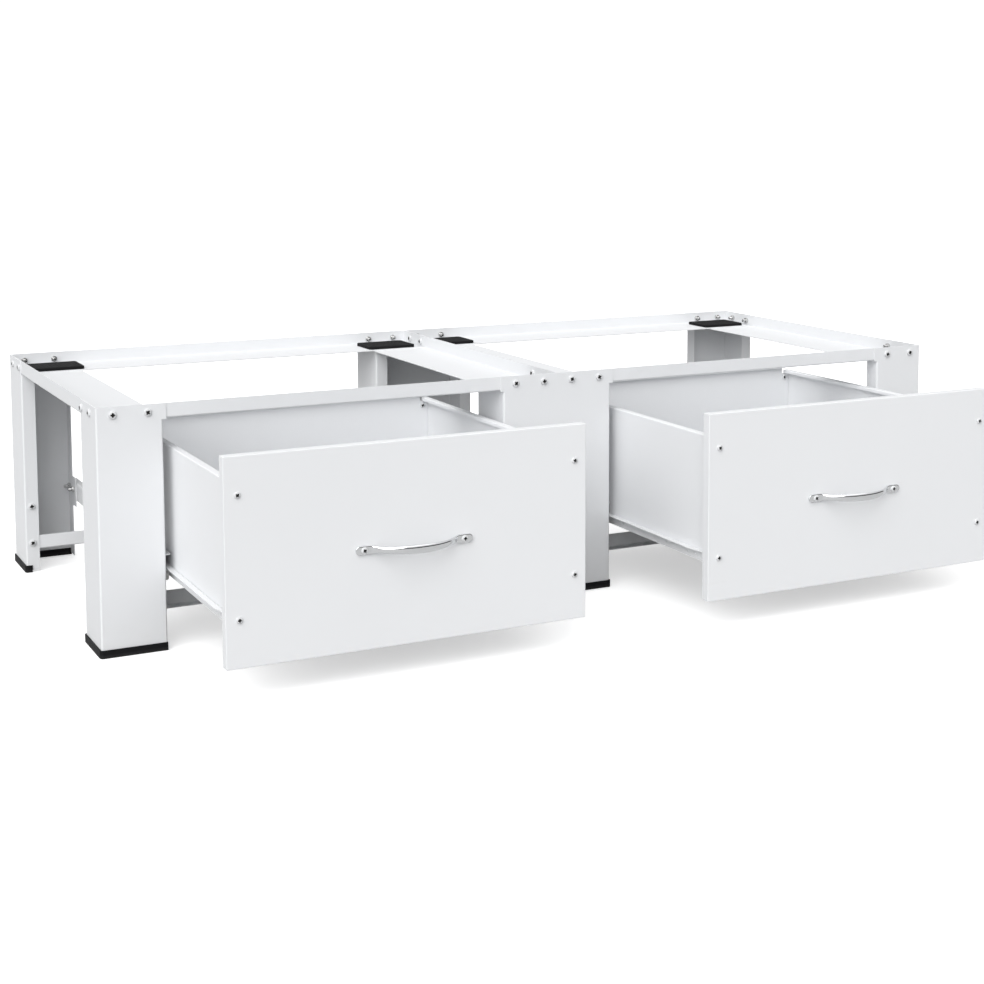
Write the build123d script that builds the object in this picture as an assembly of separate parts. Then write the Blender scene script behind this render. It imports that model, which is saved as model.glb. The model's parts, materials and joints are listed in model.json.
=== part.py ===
from build123d import *
import os

# A double laundry pedestal of folded sheet steel: two machine bays side by side, a drawer in each.
# Sizes are in millimetres. X runs to the right, Y to the back and Z up, and the origin lies on the floor
# under the middle of the frame.

# Frame
frame_width = 1260.0
frame_depth = 540.0
frame_height = 310.0
sheet = 1.2
bend = 2.4
edge_gap = 0.3

# Legs
leg_width = 82.0
leg_depth = 82.0
leg_flange = 19.0
leg_return = 24.0
leg_tab = 4.5
middle_leg_width = 165.0
ear_depth = 46.0
ear_margin = 8.0

# Feet
foot_height = 10.0
foot_floor = 3.0
foot_wall = 2.0
foot_slot_gap = 0.1
foot_hook = 8.0

# Deck rails and machine pads
rail_height = 20.0
rail_flange = 86.0
pad_width = 77.0
pad_depth = 60.0
pad_thickness = 4.5
pad_corner = 5.0
pad_side_inset = 14.0
pad_end_inset = 19.0
pad_groove_pitch = 10.0
pad_groove_width = 2.0
pad_groove_depth = 0.6

# Lower rails
lower_rail_height = 20.0
lower_rail_flange = 15.0
lower_rail_lift = 33.0
lower_rail_tab = 20.0

# Bolts and nuts
bolt_diameter = 5.0
bolt_length = 12.0
bolt_head_diameter = 10.0
bolt_head_height = 2.8
nut_width = 8.0
nut_height = 4.0
hole_gap = 0.2
thread_gap = 0.05
bolt_drop = 10.0
bolt_edge = 20.5
bolt_side_edge = 29.5
bolt_pitch = 43.0
flange_bolt_lift = 97.0
recess_width = 1.1
recess_share = 0.55

# Drawers
left_opening = 235.0
right_opening = 250.0
panel_gap = 2.75
panel_height = 244.0
panel_lift = 39.5
panel_thickness = 14.0
panel_sheet = 1.0
panel_edge_radius = 0.9
panel_lip = 7.0
box_height = 166.0
box_lift = 86.0
box_depth = 460.0
box_sheet = 0.8
box_bend = 1.6
box_hem = 10.0
box_hem_drop = 5.0
box_back_rise = 5.0
box_foot = 12.0
box_tab = 16.0
box_tab_margin = 4.0

# Drawer screws
screw_diameter = 4.0
screw_length = 9.0
screw_head_diameter = 8.0
screw_head_height = 2.2
panel_screw_edge = 16.0
panel_screw_low = 56.5
panel_screw_pitch = 143.0
back_screw_edge = 9.5
back_screw_drop = 12.0
rail_screw_head_diameter = 5.6
rail_screw_head_height = 0.7
rail_screw_diameter = 3.0
rail_screw_length = 4.0

# Handle
handle_pitch = 128.0
handle_lug = 10.5
handle_height = 11.0
handle_reach = 28.0
handle_thickness = 5.0
handle_lug_thickness = 3.0
handle_drop = 2.5
handle_round = 1.2
handle_neck = 9.0

# Runners and rollers
runner_gap = 12.75
runner_sheet = 1.2
runner_flange = 10.0
runner_setback = 2.0
runner_end = 4.0
drawer_rail_height = 14.0
ledge_width = 9.0
ledge_taper = 35.0
ledge_tip = 2.5
rail_slot_length = 16.0
rail_slot_place = 22.0
rail_hole_place = 48.0
channel_drop = 11.0
front_roller_diameter = 18.0
rear_roller_diameter = 24.0
roller_play = 0.3
roller_head_play = 1.0
roller_side_play = 0.3
axle_diameter = 5.0
axle_gap = 0.05
axle_collar = 1.0
axle_head = 1.0
axle_head_diameter = 7.0
axle_head_gap = 0.75
axle_inset = 14.0
roller_groove = 0.8
runner_bolt_front = (24.0, 40.0)
runner_bolt_rear = (11.0, 37.0)

# Places that follow from the sizes above
half_width = frame_width / 2
half_depth = frame_depth / 2
leg_bottom = foot_floor
deck_bottom = frame_height - rail_height
deck_top = deck_bottom + 2 * sheet
bay_outer = half_width - leg_width
bay_inner = middle_leg_width / 2
bay_width = bay_outer - bay_inner
bay_centre = (bay_outer + bay_inner) / 2
bay_half = bay_width / 2
flange_face = half_depth - leg_depth
lower_rail_middle = lower_rail_lift + lower_rail_height / 2
bolt_height = frame_height - bolt_drop
bolt_columns = (bolt_edge, bolt_edge + bolt_pitch)
bolt_side_columns = (bolt_side_edge, bolt_side_edge + bolt_pitch)

panel_half = bay_half - panel_gap
panel_front = -half_depth
panel_back = panel_front + panel_thickness
panel_top = panel_lift + panel_height
box_half = bay_half - runner_gap
box_front = panel_front + panel_sheet
box_back = box_front + box_depth
box_top = box_lift + box_height
handle_level = panel_lift + panel_height / 2 - handle_drop

ledge_top = box_lift + drawer_rail_height
channel_bottom = ledge_top - channel_drop
channel_height = rear_roller_diameter + 2 * runner_sheet + roller_play + roller_head_play
channel_top = channel_bottom + channel_height
runner_front = panel_back + runner_setback
runner_back = half_depth - runner_end
front_axis = (runner_front + axle_inset, ledge_top - runner_sheet - roller_play - front_roller_diameter / 2)
rear_axis = (box_back - axle_inset, channel_bottom + runner_sheet + roller_play + rear_roller_diameter / 2)
roller_room = runner_gap - 2 * runner_sheet - axle_collar - axle_head - 2 * roller_side_play
roller_width = roller_room - axle_head_gap
runner_bolt_level = ledge_top + bolt_head_diameter / 2 + runner_setback

along_x = Plane(origin=(0, 0, 0), x_dir=(0, 1, 0), z_dir=(1, 0, 0))


def block(low, high):
    """A box between two corners."""
    size = [b - a for a, b in zip(low, high)]
    return Pos(*low) * Box(*size, align=(Align.MIN, Align.MIN, Align.MIN))


def rod(start, direction, radius, length):
    """A round bar from a point along a direction."""
    return Plane(origin=start, z_dir=direction) * Cylinder(
        radius, length, align=(Align.CENTER, Align.CENTER, Align.MIN)
    )


def folded(points, thickness, radius):
    """A sheet's section: the points are its outer face, folded to the left at each square corner."""
    outer = [Vector(*p) for p in points]
    ahead = [(b - a).normalized() for a, b in zip(outer, outer[1:])]
    left = [Vector(-d.Y, d.X) * thickness for d in ahead]
    inner = [outer[0] + left[0]]
    inner += [p + a + b for p, a, b in zip(outer[1:], left, left[1:])]
    inner += [outer[-1] + left[-1]]
    corners = len(outer) - 2
    inner_radius = max(radius - thickness, 0)
    radii = [0] + [radius] * corners + [0, 0] + [inner_radius] * corners + [0]
    return make_face(FilletPolyline(*outer, *reversed(inner), radius=radii, close=True))


def run_along_x(section, start, end):
    """Draws a section of Y and Z out from one X to another."""
    return extrude(along_x.offset(start) * section, amount=end - start)


def run_along_y(section, start, end):
    """Draws a section of X and Z out from one Y to another."""
    plane = Plane(origin=(0, end, 0), x_dir=(1, 0, 0), z_dir=(0, -1, 0))
    return extrude(plane * section, amount=end - start)


def run_along_z(section, start, end):
    """Draws a section of X and Y up from one Z to another."""
    return extrude(Pos(0, 0, start) * section, amount=end - start)


def as_drawn(shape):
    """Leaves a shape on the side it was drawn for."""
    return shape


def flipped_x(shape, centre=0.0):
    """Mirrors a shape from left to right."""
    return mirror(shape, about=Plane(origin=(centre, 0, 0), z_dir=(1, 0, 0)))


def flipped_y(shape):
    """Mirrors a shape from front to back."""
    return mirror(shape, about=Plane.XZ)


def pan_head(head_diameter, head_height, shank_diameter, shank_length):
    """A pan-head fastener with a cross recess: head below Z = 0, shank above it."""
    head = rod((0, 0, -head_height), (0, 0, 1), head_diameter / 2, head_height)
    head = fillet(head.edges().group_by(Axis.Z)[0], head_height * recess_share)
    arm = Box(head_diameter * recess_share, recess_width, 2 * head_height * recess_share)
    recess = Pos(0, 0, -head_height) * (arm + Rot(0, 0, 90) * arm)
    return head - recess + rod((0, 0, 0), (0, 0, 1), shank_diameter / 2, shank_length)


def low_head(head_diameter, head_height, shank_diameter, shank_length):
    """A flat rivet-like screw for tight places."""
    head = rod((0, 0, -head_height), (0, 0, 1), head_diameter / 2, head_height)
    head = chamfer(head.edges().group_by(Axis.Z)[0], head_height / 2)
    return head + rod((0, 0, 0), (0, 0, 1), shank_diameter / 2, shank_length)


def hex_nut():
    """A nut with its lower face at Z = 0 and one flat towards X."""
    profile = RegularPolygon(nut_width / 2, 6, major_radius=False, rotation=30)
    body = extrude(profile, amount=nut_height)
    hole = Pos(0, 0, nut_height / 2) * Cylinder(bolt_diameter / 2 + thread_gap, 2 * nut_height)
    return body - hole


class Fastener:
    """One bolt: where its head seats, the way its shank points and the sheets it holds together."""

    def __init__(self, seat, direction, grip):
        self.seat = seat
        self.direction = direction
        self.grip = grip

    def place(self, shape, depth=0.0):
        origin = Vector(*self.seat) + Vector(*self.direction) * depth
        side = (0, 0, 1)
        return Plane(origin=origin, x_dir=side, z_dir=self.direction) * shape

    def hole(self, radius, length):
        return self.place(Cylinder(radius, length, align=(Align.CENTER, Align.CENTER, Align.MIN)))


def drilled(shape, bolts, radius, length):
    """Cuts the holes of those bolts whose shanks cross the shape."""
    room = shape.bounding_box()
    for bolt in bolts:
        cutter = bolt.hole(radius, length)
        box = cutter.bounding_box()
        apart = any(
            a > b or c > d
            for a, b, c, d in zip(box.min, room.max, room.min, box.max)
        )
        if not apart:
            shape = shape - cutter
    return shape


# Legs, feet and their outlines in plan, drawn for the front left corner
def corner_leg_plan(grow=0.0):
    left = -half_width - grow
    front = -half_depth - grow
    right = -bay_outer + grow
    back = -flange_face + grow
    points = [
        (-half_width + leg_flange + grow, back),
        (left, back),
        (left, front),
        (right, front),
        (right, -half_depth + leg_return + grow),
    ]
    return folded(points, sheet + 2 * grow, bend + grow)


def middle_leg_plan(grow=0.0):
    side = bay_inner + grow
    front = -half_depth - grow
    back = -flange_face + grow
    tip = bay_inner - leg_flange - grow
    points = [(-tip, back), (-side, back), (-side, front), (side, front), (side, back), (tip, back)]
    return folded(points, sheet + 2 * grow, bend + grow)


def corner_leg():
    lower = run_along_z(corner_leg_plan(), leg_bottom, deck_bottom)
    collar_points = [
        (-half_width, -flange_face - bend),
        (-half_width, -half_depth),
        (-bay_outer + leg_tab, -half_depth),
    ]
    collar = run_along_z(folded(collar_points, sheet, bend), deck_bottom, frame_height)
    ear = block(
        (-bay_outer - sheet, -half_depth + bend, channel_bottom - ear_margin),
        (-bay_outer, -half_depth + ear_depth, channel_top + ear_margin),
    )
    return lower + collar + ear


def middle_leg():
    lower = run_along_z(middle_leg_plan(), leg_bottom, deck_bottom)
    collar = block(
        (-bay_inner - leg_tab, -half_depth, deck_bottom),
        (bay_inner + leg_tab, -half_depth + sheet, frame_height),
    )
    return lower + collar


def corner_foot():
    grow = foot_wall + foot_slot_gap
    left = -half_width - grow
    front = -half_depth - grow
    back = -flange_face + grow
    points = [(-half_width + foot_hook, back), (left, back), (left, front), (-bay_outer, front)]
    cap = run_along_z(folded(points, sheet + 2 * grow, bend + grow), 0, foot_height)
    return cap - run_along_z(corner_leg_plan(foot_slot_gap), leg_bottom, frame_height)


def middle_foot():
    grow = foot_wall + foot_slot_gap
    side = bay_inner + grow
    front = -half_depth - grow
    back = -flange_face + grow
    tip = bay_inner - foot_hook
    points = [(-tip, back), (-side, back), (-side, front), (side, front), (side, back), (tip, back)]
    cap = run_along_z(folded(points, sheet + 2 * grow, bend + grow), 0, foot_height)
    return cap - run_along_z(middle_leg_plan(foot_slot_gap), leg_bottom, frame_height)


# Deck rails, machine pads and lower rails, drawn for the left bay
def side_rail():
    lip = -half_width + sheet
    points = [(lip, frame_height), (lip, deck_bottom), (lip + rail_flange, deck_bottom)]
    reach = half_depth - 2 * sheet
    return run_along_y(folded(points, sheet, bend), -reach, reach)


def front_rail():
    lip = -half_depth + sheet
    floor = deck_bottom + sheet
    points = [(lip, frame_height), (lip, floor), (lip + rail_flange, floor)]
    rail = run_along_x(folded(points, sheet, bend), -half_width + bend + edge_gap, -edge_gap / 2)
    notch = sheet + bend + edge_gap
    low = (-half_width - sheet, lip + sheet, deck_bottom)
    high = (-half_width + sheet + notch, 0, frame_height)
    rail = rail - block(low, high)
    return rail - block((-notch, lip + sheet, deck_bottom), (notch, 0, frame_height))


def machine_pad():
    low = (-half_width + sheet + pad_side_inset, -half_depth + pad_end_inset, deck_top)
    pad = block(low, (low[0] + pad_width, low[1] + pad_depth, deck_top + pad_thickness))
    pad = fillet(pad.edges().filter_by(Axis.Z), pad_corner)
    grooves = int((pad_width - pad_groove_width) // pad_groove_pitch)
    start = low[0] + (pad_width - (grooves - 1) * pad_groove_pitch - pad_groove_width) / 2
    for index in range(grooves):
        x = start + index * pad_groove_pitch
        groove_front = low[1] + pad_groove_pitch
        groove_back = low[1] + pad_depth - pad_groove_pitch
        groove_low = (x, groove_front, deck_top + pad_thickness - pad_groove_depth)
        pad = pad - block(groove_low, (x + pad_groove_width, groove_back, deck_top + 2 * pad_thickness))
    return pad


def lower_rail():
    wall = flange_face + sheet
    low = lower_rail_lift
    high = lower_rail_lift + lower_rail_height
    section = folded([(wall, high), (wall, low), (wall + lower_rail_flange, low)], sheet, bend)
    start = -half_width + bend + edge_gap
    end = -bay_inner
    rail = run_along_x(section, start, end - sheet - edge_gap)
    rail = rail + block((end - sheet - bend, wall, low + bend), (end, wall + sheet, high))
    tab = block((end - sheet, wall, low + bend), (end, wall + lower_rail_tab, high))
    return flipped_y(rail + tab)


# Runners, rollers and axles, drawn for the left side of a bay whose middle is at X = 0
def fixed_runner():
    face = -bay_half
    points = [
        (face + runner_flange, channel_top),
        (face, channel_top),
        (face, channel_bottom),
        (face + runner_flange, channel_bottom),
    ]
    channel = run_along_y(folded(points, runner_sheet, 2 * runner_sheet), runner_front, runner_back)
    axis_y, axis_z = front_axis
    clear = front_roller_diameter / 2 + axle_collar
    cut_low = (face + runner_sheet, runner_front - runner_sheet, channel_bottom - runner_sheet)
    cut_high = (face + bay_half, axis_y + clear, channel_bottom + front_roller_diameter / 2)
    channel = channel - block(cut_low, cut_high)
    ear = rod((face, axis_y, axis_z), (1, 0, 0), axle_inset, runner_sheet)
    ear = ear & block((face, runner_front, 0), (face + runner_sheet, runner_back, channel_top))
    channel = channel + ear
    return channel - rod((face, axis_y, axis_z), (1, 0, 0), axle_diameter / 2 + axle_gap, runner_sheet)


def stepped_axle(start, direction):
    """A staked axle: shank from the runner's face, a collar beside the sheet and a head past the roller."""
    head_place = runner_sheet + axle_collar + roller_width + 2 * roller_side_play
    axle = rod(start, direction, axle_diameter / 2, head_place + axle_head)
    at = Vector(*start)
    way = Vector(*direction)
    axle = axle + rod(at + way * runner_sheet, direction, axle_head_diameter / 2, axle_collar)
    return axle + rod(at + way * head_place, direction, axle_head_diameter / 2, axle_head)


def roller(start, direction, diameter):
    """A nylon roller with a hub groove on each side, on the axle that starts at the same point."""
    at = Vector(*start) + Vector(*direction) * (runner_sheet + axle_collar + roller_side_play)
    wheel = rod(at, direction, diameter / 2, roller_width)
    wheel = chamfer(wheel.edges().filter_by(GeomType.CIRCLE), roller_groove)
    wheel = wheel - rod(at, direction, axle_diameter / 2 + axle_gap, roller_width)
    ring_outer = diameter / 2 - 2 * roller_groove
    ring_inner = axle_head_diameter / 2
    for depth in (0, roller_width - roller_groove):
        place = at + Vector(*direction) * depth
        ring = rod(place, direction, ring_outer, roller_groove)
        ring = ring - rod(place, direction, ring_inner, roller_groove)
        wheel = wheel - ring
    return wheel


def drawer_rail():
    face = -box_half
    front = panel_back + edge_gap
    axis_y, axis_z = rear_axis
    ledge_end = axis_y - rear_roller_diameter / 2 - axle_collar
    points = [(face, box_lift), (face, ledge_top), (face - ledge_width, ledge_top)]
    rail = run_along_y(folded(points, runner_sheet, 2 * runner_sheet), front, ledge_end)
    taper = make_face(
        Polyline(
            (face - ledge_width, front),
            (face - ledge_tip, front),
            (face - ledge_width, front + ledge_taper),
            close=True,
        )
    )
    rail = rail - run_along_z(taper, box_lift, ledge_top + runner_sheet)
    ear_top = axis_z + axle_head_diameter
    ear = block((face - runner_sheet, ledge_end - runner_sheet, box_lift), (face, box_back, ear_top))
    ear = fillet(ear.edges().filter_by(Axis.X).group_by(Axis.Z)[-1], axle_diameter)
    rail = rail + ear
    slot_level = box_lift + drawer_rail_height / 2
    slot = SlotCenterToCenter(rail_slot_length, screw_diameter)
    slot_place = (face, front + rail_slot_place, slot_level)
    slot_plane = Plane(origin=slot_place, x_dir=(0, 1, 0), z_dir=(-1, 0, 0))
    rail = rail - extrude(slot_plane * slot, amount=runner_sheet)
    hole = rod((face, front + rail_hole_place, slot_level), (-1, 0, 0), screw_diameter / 2, runner_sheet)
    axle_hole = rod((face, axis_y, axis_z), (-1, 0, 0), axle_diameter / 2 + axle_gap, runner_sheet)
    return rail - hole - axle_hole


# Drawer sheets, drawn closed, for a bay whose middle is at X = 0
def drawer_panel():
    low = (-panel_half, panel_front, panel_lift)
    high = (panel_half, panel_back, panel_top)
    panel = block(low, high)
    panel = fillet(panel.edges(), panel_edge_radius)
    cavity_low = [a + panel_sheet for a in low]
    cavity_high = [a - panel_sheet for a in high]
    panel = panel - block(cavity_low, cavity_high)
    rim = panel_sheet + panel_lip
    mouth_low = (low[0] + rim, high[1] - 2 * panel_sheet, low[2] + rim)
    mouth_high = (high[0] - rim, high[1] + panel_sheet, high[2] - rim)
    return panel - block(mouth_low, mouth_high)


def drawer_side():
    face = -box_half
    points = [
        (face + box_hem, box_top - box_hem_drop),
        (face + box_hem, box_top),
        (face, box_top),
        (face, box_lift),
        (face + box_foot, box_lift),
    ]
    side = run_along_y(folded(points, box_sheet, box_bend), box_front, box_back)
    tab_low = box_lift + box_tab_margin
    tab_high = box_top - box_hem_drop - box_bend
    for y in (box_front, box_back - box_sheet):
        side = side + block((face, y, tab_low), (face + box_tab, y + box_sheet, tab_high))
    return side


def drawer_back():
    rear = box_back - box_sheet
    half_middle = box_half - box_foot - edge_gap - box_sheet
    half_wall = box_half - box_sheet - edge_gap
    points = [
        (-rear + box_foot, box_lift),
        (-rear, box_lift),
        (-rear, box_top + box_back_rise),
        (-rear + box_hem, box_top + box_back_rise),
    ]
    section = folded([(y, z) for y, z in reversed(points)], box_sheet, box_bend)
    middle = flipped_y(run_along_x(section, -half_middle, half_middle))
    low = (-half_wall, rear - box_sheet, box_lift + box_sheet + edge_gap)
    high = (half_wall, rear, box_top - box_hem_drop - edge_gap)
    wings = block(low, high) - block((-half_middle, 0, 0), (half_middle, half_depth, frame_height))
    return middle + wings


def drawer_bottom():
    half = box_half - box_bend - edge_gap
    front = box_front + box_sheet + edge_gap
    back = box_back - box_sheet - box_bend - edge_gap
    floor = box_lift + box_sheet
    return block((-half, front, floor), (half, back, floor + box_sheet))


def bow_handle():
    """A bow with flat lugs, drawn in plan with the panel's face at Y = 0 and pointing to the front."""
    end = handle_pitch / 2 + handle_lug
    foot = handle_pitch / 2 - handle_neck
    outer_foot = foot + handle_thickness
    inner = -(handle_reach - handle_thickness)
    lug = -handle_lug_thickness
    outline = [
        Line((-end, 0), (-foot, 0)),
        ThreePointArc((-foot, 0), (0, inner), (foot, 0)),
        Polyline((foot, 0), (end, 0), (end, lug), (outer_foot, lug)),
        ThreePointArc((outer_foot, lug), (0, -handle_reach), (-outer_foot, lug)),
        Polyline((-outer_foot, lug), (-end, lug), (-end, 0)),
    ]
    bow = extrude(make_face(outline), amount=handle_height / 2, both=True)
    tips = bow.edges().filter_by(Axis.Y).group_by(SortBy.LENGTH)[0]
    bow = fillet(tips, handle_height / 2 - handle_round)
    rims = bow.edges().group_by(Axis.Z)
    bow = fillet(rims[0] + rims[-1], handle_round)
    return Pos(0, panel_front, handle_level) * bow


# Places of the bolts
corner_signs = [(x, y) for x in (-1, 1) for y in (-1, 1)]
frame_bolts = []
for sx, sy in corner_signs:
    for column in bolt_columns:
        frame_bolts.append(
            Fastener((sx * (half_width - column), sy * half_depth, bolt_height), (0, -sy, 0), 2 * sheet)
        )
    for column in bolt_side_columns:
        frame_bolts.append(
            Fastener((sx * half_width, sy * (half_depth - column), bolt_height), (-sx, 0, 0), 2 * sheet)
        )
    flange_x = sx * (half_width - leg_flange / 2)
    low_seat = (flange_x, sy * flange_face, lower_rail_middle)
    high_seat = (flange_x, sy * flange_face, flange_bolt_lift)
    tab_middle = flange_face + sheet + lower_rail_tab / 2
    tab_seat = (sx * (bay_inner + sheet), sy * tab_middle, lower_rail_middle)
    frame_bolts.append(Fastener(low_seat, (0, sy, 0), 2 * sheet))
    frame_bolts.append(Fastener(high_seat, (0, sy, 0), sheet))
    frame_bolts.append(Fastener(tab_seat, (-sx, 0, 0), 2 * sheet))
for sy in (-1, 1):
    for step in (-1.5, -0.5, 0.5, 1.5):
        seat = (step * bolt_pitch, sy * half_depth, bolt_height)
        frame_bolts.append(Fastener(seat, (0, -sy, 0), 2 * sheet))
    for column in bolt_side_columns:
        seat = (-sheet, sy * (half_depth - column), bolt_height)
        frame_bolts.append(Fastener(seat, (1, 0, 0), 2 * sheet))
runner_bolt_places = [-half_depth + y for y in runner_bolt_front]
runner_bolt_places += [half_depth - y for y in runner_bolt_rear]
for centre in (-bay_centre, bay_centre):
    for side in (-1, 1):
        seat_x = centre + side * (bay_half - runner_sheet)
        for y in runner_bolt_places:
            frame_bolts.append(Fastener((seat_x, y, runner_bolt_level), (side, 0, 0), runner_sheet + sheet))

# Places of the drawer screws, for a closed drawer whose middle is at X = 0
panel_screws = []
handle_screws = []
back_screws = []
rail_screws = []
back_inner = box_back - 2 * box_sheet
rail_screw_level = ledge_top - 2 * runner_sheet - edge_gap - rail_screw_head_diameter / 2
for side in (-1, 1):
    handle_seat = (side * handle_pitch / 2, panel_front - handle_lug_thickness, handle_level)
    handle_screws.append(Fastener(handle_seat, (0, 1, 0), handle_lug_thickness))
    for rise in (0, panel_screw_pitch):
        seat = (side * (panel_half - panel_screw_edge), panel_front, panel_lift + panel_screw_low + rise)
        panel_screws.append(Fastener(seat, (0, 1, 0), panel_sheet))
    for level in (box_lift + back_screw_drop, box_top - back_screw_drop):
        seat = (side * (box_half - back_screw_edge), back_inner, level)
        back_screws.append(Fastener(seat, (0, 1, 0), box_sheet))
    for share in (0.25, 0.5, 0.75):
        seat = (side * (box_half + runner_sheet), box_front + share * box_depth, rail_screw_level)
        rail_screws.append(Fastener(seat, (-side, 0, 0), runner_sheet))

bolt = pan_head(bolt_head_diameter, bolt_head_height, bolt_diameter, bolt_length)
nut = hex_nut()
screw = pan_head(screw_head_diameter, screw_head_height, screw_diameter, screw_length)
rail_screw = low_head(
    rail_screw_head_diameter, rail_screw_head_height, rail_screw_diameter, rail_screw_length
)


def bolted(shape):
    return drilled(shape, frame_bolts, bolt_diameter / 2 + hole_gap, bolt_length)


def screwed(shape):
    screws = panel_screws + handle_screws + back_screws
    shape = drilled(shape, screws, screw_diameter / 2 + hole_gap, screw_length)
    return drilled(shape, rail_screws, rail_screw_diameter / 2 + hole_gap, rail_screw_length)


nodes = {}

# The frame: legs and feet, rails, pads
front_left_leg = corner_leg()
front_middle_leg = middle_leg()
nodes["front_left_leg"] = bolted(front_left_leg)
nodes["front_right_leg"] = bolted(flipped_x(front_left_leg))
nodes["back_left_leg"] = bolted(flipped_y(front_left_leg))
nodes["back_right_leg"] = bolted(flipped_y(flipped_x(front_left_leg)))
nodes["front_middle_leg"] = bolted(front_middle_leg)
nodes["back_middle_leg"] = bolted(flipped_y(front_middle_leg))

left_foot = corner_foot()
right_foot = flipped_x(left_foot)
centre_foot = middle_foot()
nodes["corner_feet"] = [left_foot, right_foot, flipped_y(left_foot), flipped_y(right_foot)]
nodes["middle_feet"] = [centre_foot, flipped_y(centre_foot)]

outer_rail = side_rail()
inner_rail = flipped_x(outer_rail, -half_width / 2 + sheet / 2)
cross_rail = front_rail()
low_rail = lower_rail()
pad = machine_pad()
inner_pad = flipped_x(pad, -half_width / 2 + sheet / 2)
for bay, turn in (("left_bay", as_drawn), ("right_bay", flipped_x)):
    nodes[bay + "_outer_rail"] = bolted(turn(outer_rail))
    nodes[bay + "_inner_rail"] = bolted(turn(inner_rail))
    nodes[bay + "_front_rail"] = bolted(turn(cross_rail))
    nodes[bay + "_back_rail"] = bolted(flipped_y(turn(cross_rail)))
    nodes[bay + "_lower_front_rail"] = bolted(turn(low_rail))
    nodes[bay + "_lower_back_rail"] = bolted(flipped_y(turn(low_rail)))
    nodes[bay + "_pads"] = [turn(pad), turn(inner_pad), flipped_y(turn(pad)), flipped_y(turn(inner_pad))]

# Runners with their front rollers, on both sides of each bay
runner = fixed_runner()
front_axle_start = (-bay_half, *front_axis)
front_axle = stepped_axle(front_axle_start, (1, 0, 0))
front_roller = roller(front_axle_start, (1, 0, 0), front_roller_diameter)
front_axles = []
for bay, centre in (("left_bay", -bay_centre), ("right_bay", bay_centre)):
    for side, turn in (("left", as_drawn), ("right", flipped_x)):
        nodes[f"{bay}_{side}_runner"] = bolted(Pos(centre, 0, 0) * turn(runner))
        nodes[f"{bay}_{side}_front_roller"] = Pos(centre, 0, 0) * turn(front_roller)
        front_axles.append(Pos(centre, 0, 0) * turn(front_axle))
nodes["front_roller_axles"] = front_axles
nodes["frame_bolts"] = [b.place(bolt) for b in frame_bolts]
nodes["frame_nuts"] = [b.place(nut, b.grip) for b in frame_bolts]

# Drawers, drawn out as far as they stand open
left_side = drawer_side()
left_rail = drawer_rail()
rear_axle_start = (-box_half, *rear_axis)
rear_axle = stepped_axle(rear_axle_start, (-1, 0, 0))
rear_roller = roller(rear_axle_start, (-1, 0, 0), rear_roller_diameter)
drawer = {
    "front": screwed(drawer_panel()),
    "left_side": screwed(left_side),
    "right_side": screwed(flipped_x(left_side)),
    "back": screwed(drawer_back()),
    "bottom": drawer_bottom(),
    "handle": screwed(bow_handle()),
    "left_rail": screwed(left_rail),
    "right_rail": screwed(flipped_x(left_rail)),
    "left_rear_roller": rear_roller,
    "right_rear_roller": flipped_x(rear_roller),
    "rear_roller_axles": [rear_axle, flipped_x(rear_axle)],
    "front_screws": [s.place(screw) for s in panel_screws + handle_screws],
    "box_screws": [s.place(screw) for s in back_screws] + [s.place(rail_screw) for s in rail_screws],
}
for name, place in (
    ("left_drawer", Pos(-bay_centre, -left_opening, 0)),
    ("right_drawer", Pos(bay_centre, -right_opening, 0)),
):
    for piece, shape in drawer.items():
        solids = shape if isinstance(shape, list) else [shape]
        nodes[f"{name}_{piece}"] = [place * solid for solid in solids]

os.makedirs("parts", exist_ok=True)
for name, shape in nodes.items():
    pieces = shape if isinstance(shape, list) else [shape]
    solids = [solid for piece in pieces for solid in piece.solids()]
    whole = solids[0] if len(solids) == 1 else Compound(children=solids)
    export_step(whole, os.path.join("parts", name + ".step"))
print(len(nodes), "nodes written")
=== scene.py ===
# %% [markdown]
# # Double laundry pedestal
# Two machine bays stand side by side on folded steel legs, with a wide drawer under each bay.
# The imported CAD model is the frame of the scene: it fixes every place and size. This lesson gives
# its sheets their paint, and builds the small turned, moulded and bent pieces in finer mesh.
# All lengths are in metres. X runs to the right, Y to the back and Z up.

# %% Load the frame
import json
import math

import bmesh
import bpy
import numpy as np
from mathutils import Matrix, Vector


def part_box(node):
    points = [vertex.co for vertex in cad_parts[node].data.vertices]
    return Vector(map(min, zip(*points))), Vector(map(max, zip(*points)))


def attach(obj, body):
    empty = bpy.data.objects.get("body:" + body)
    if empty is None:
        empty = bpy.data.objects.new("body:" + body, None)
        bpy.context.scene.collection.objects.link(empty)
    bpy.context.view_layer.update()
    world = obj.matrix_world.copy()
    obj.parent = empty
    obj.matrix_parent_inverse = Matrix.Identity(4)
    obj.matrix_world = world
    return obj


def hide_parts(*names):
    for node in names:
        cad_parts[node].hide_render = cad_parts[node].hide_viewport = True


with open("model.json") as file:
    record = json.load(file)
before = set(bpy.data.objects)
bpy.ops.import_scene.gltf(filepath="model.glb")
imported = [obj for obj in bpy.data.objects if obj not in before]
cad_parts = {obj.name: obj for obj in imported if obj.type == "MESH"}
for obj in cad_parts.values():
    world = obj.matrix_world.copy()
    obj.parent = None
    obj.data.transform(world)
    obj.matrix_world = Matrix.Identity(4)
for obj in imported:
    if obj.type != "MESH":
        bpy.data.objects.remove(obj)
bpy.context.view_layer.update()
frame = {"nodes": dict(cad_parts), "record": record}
nodes = frame["nodes"]
MM = 0.001
DRAWERS = ("left_drawer", "right_drawer")
BAYS = ("left_bay", "right_bay")

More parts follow.
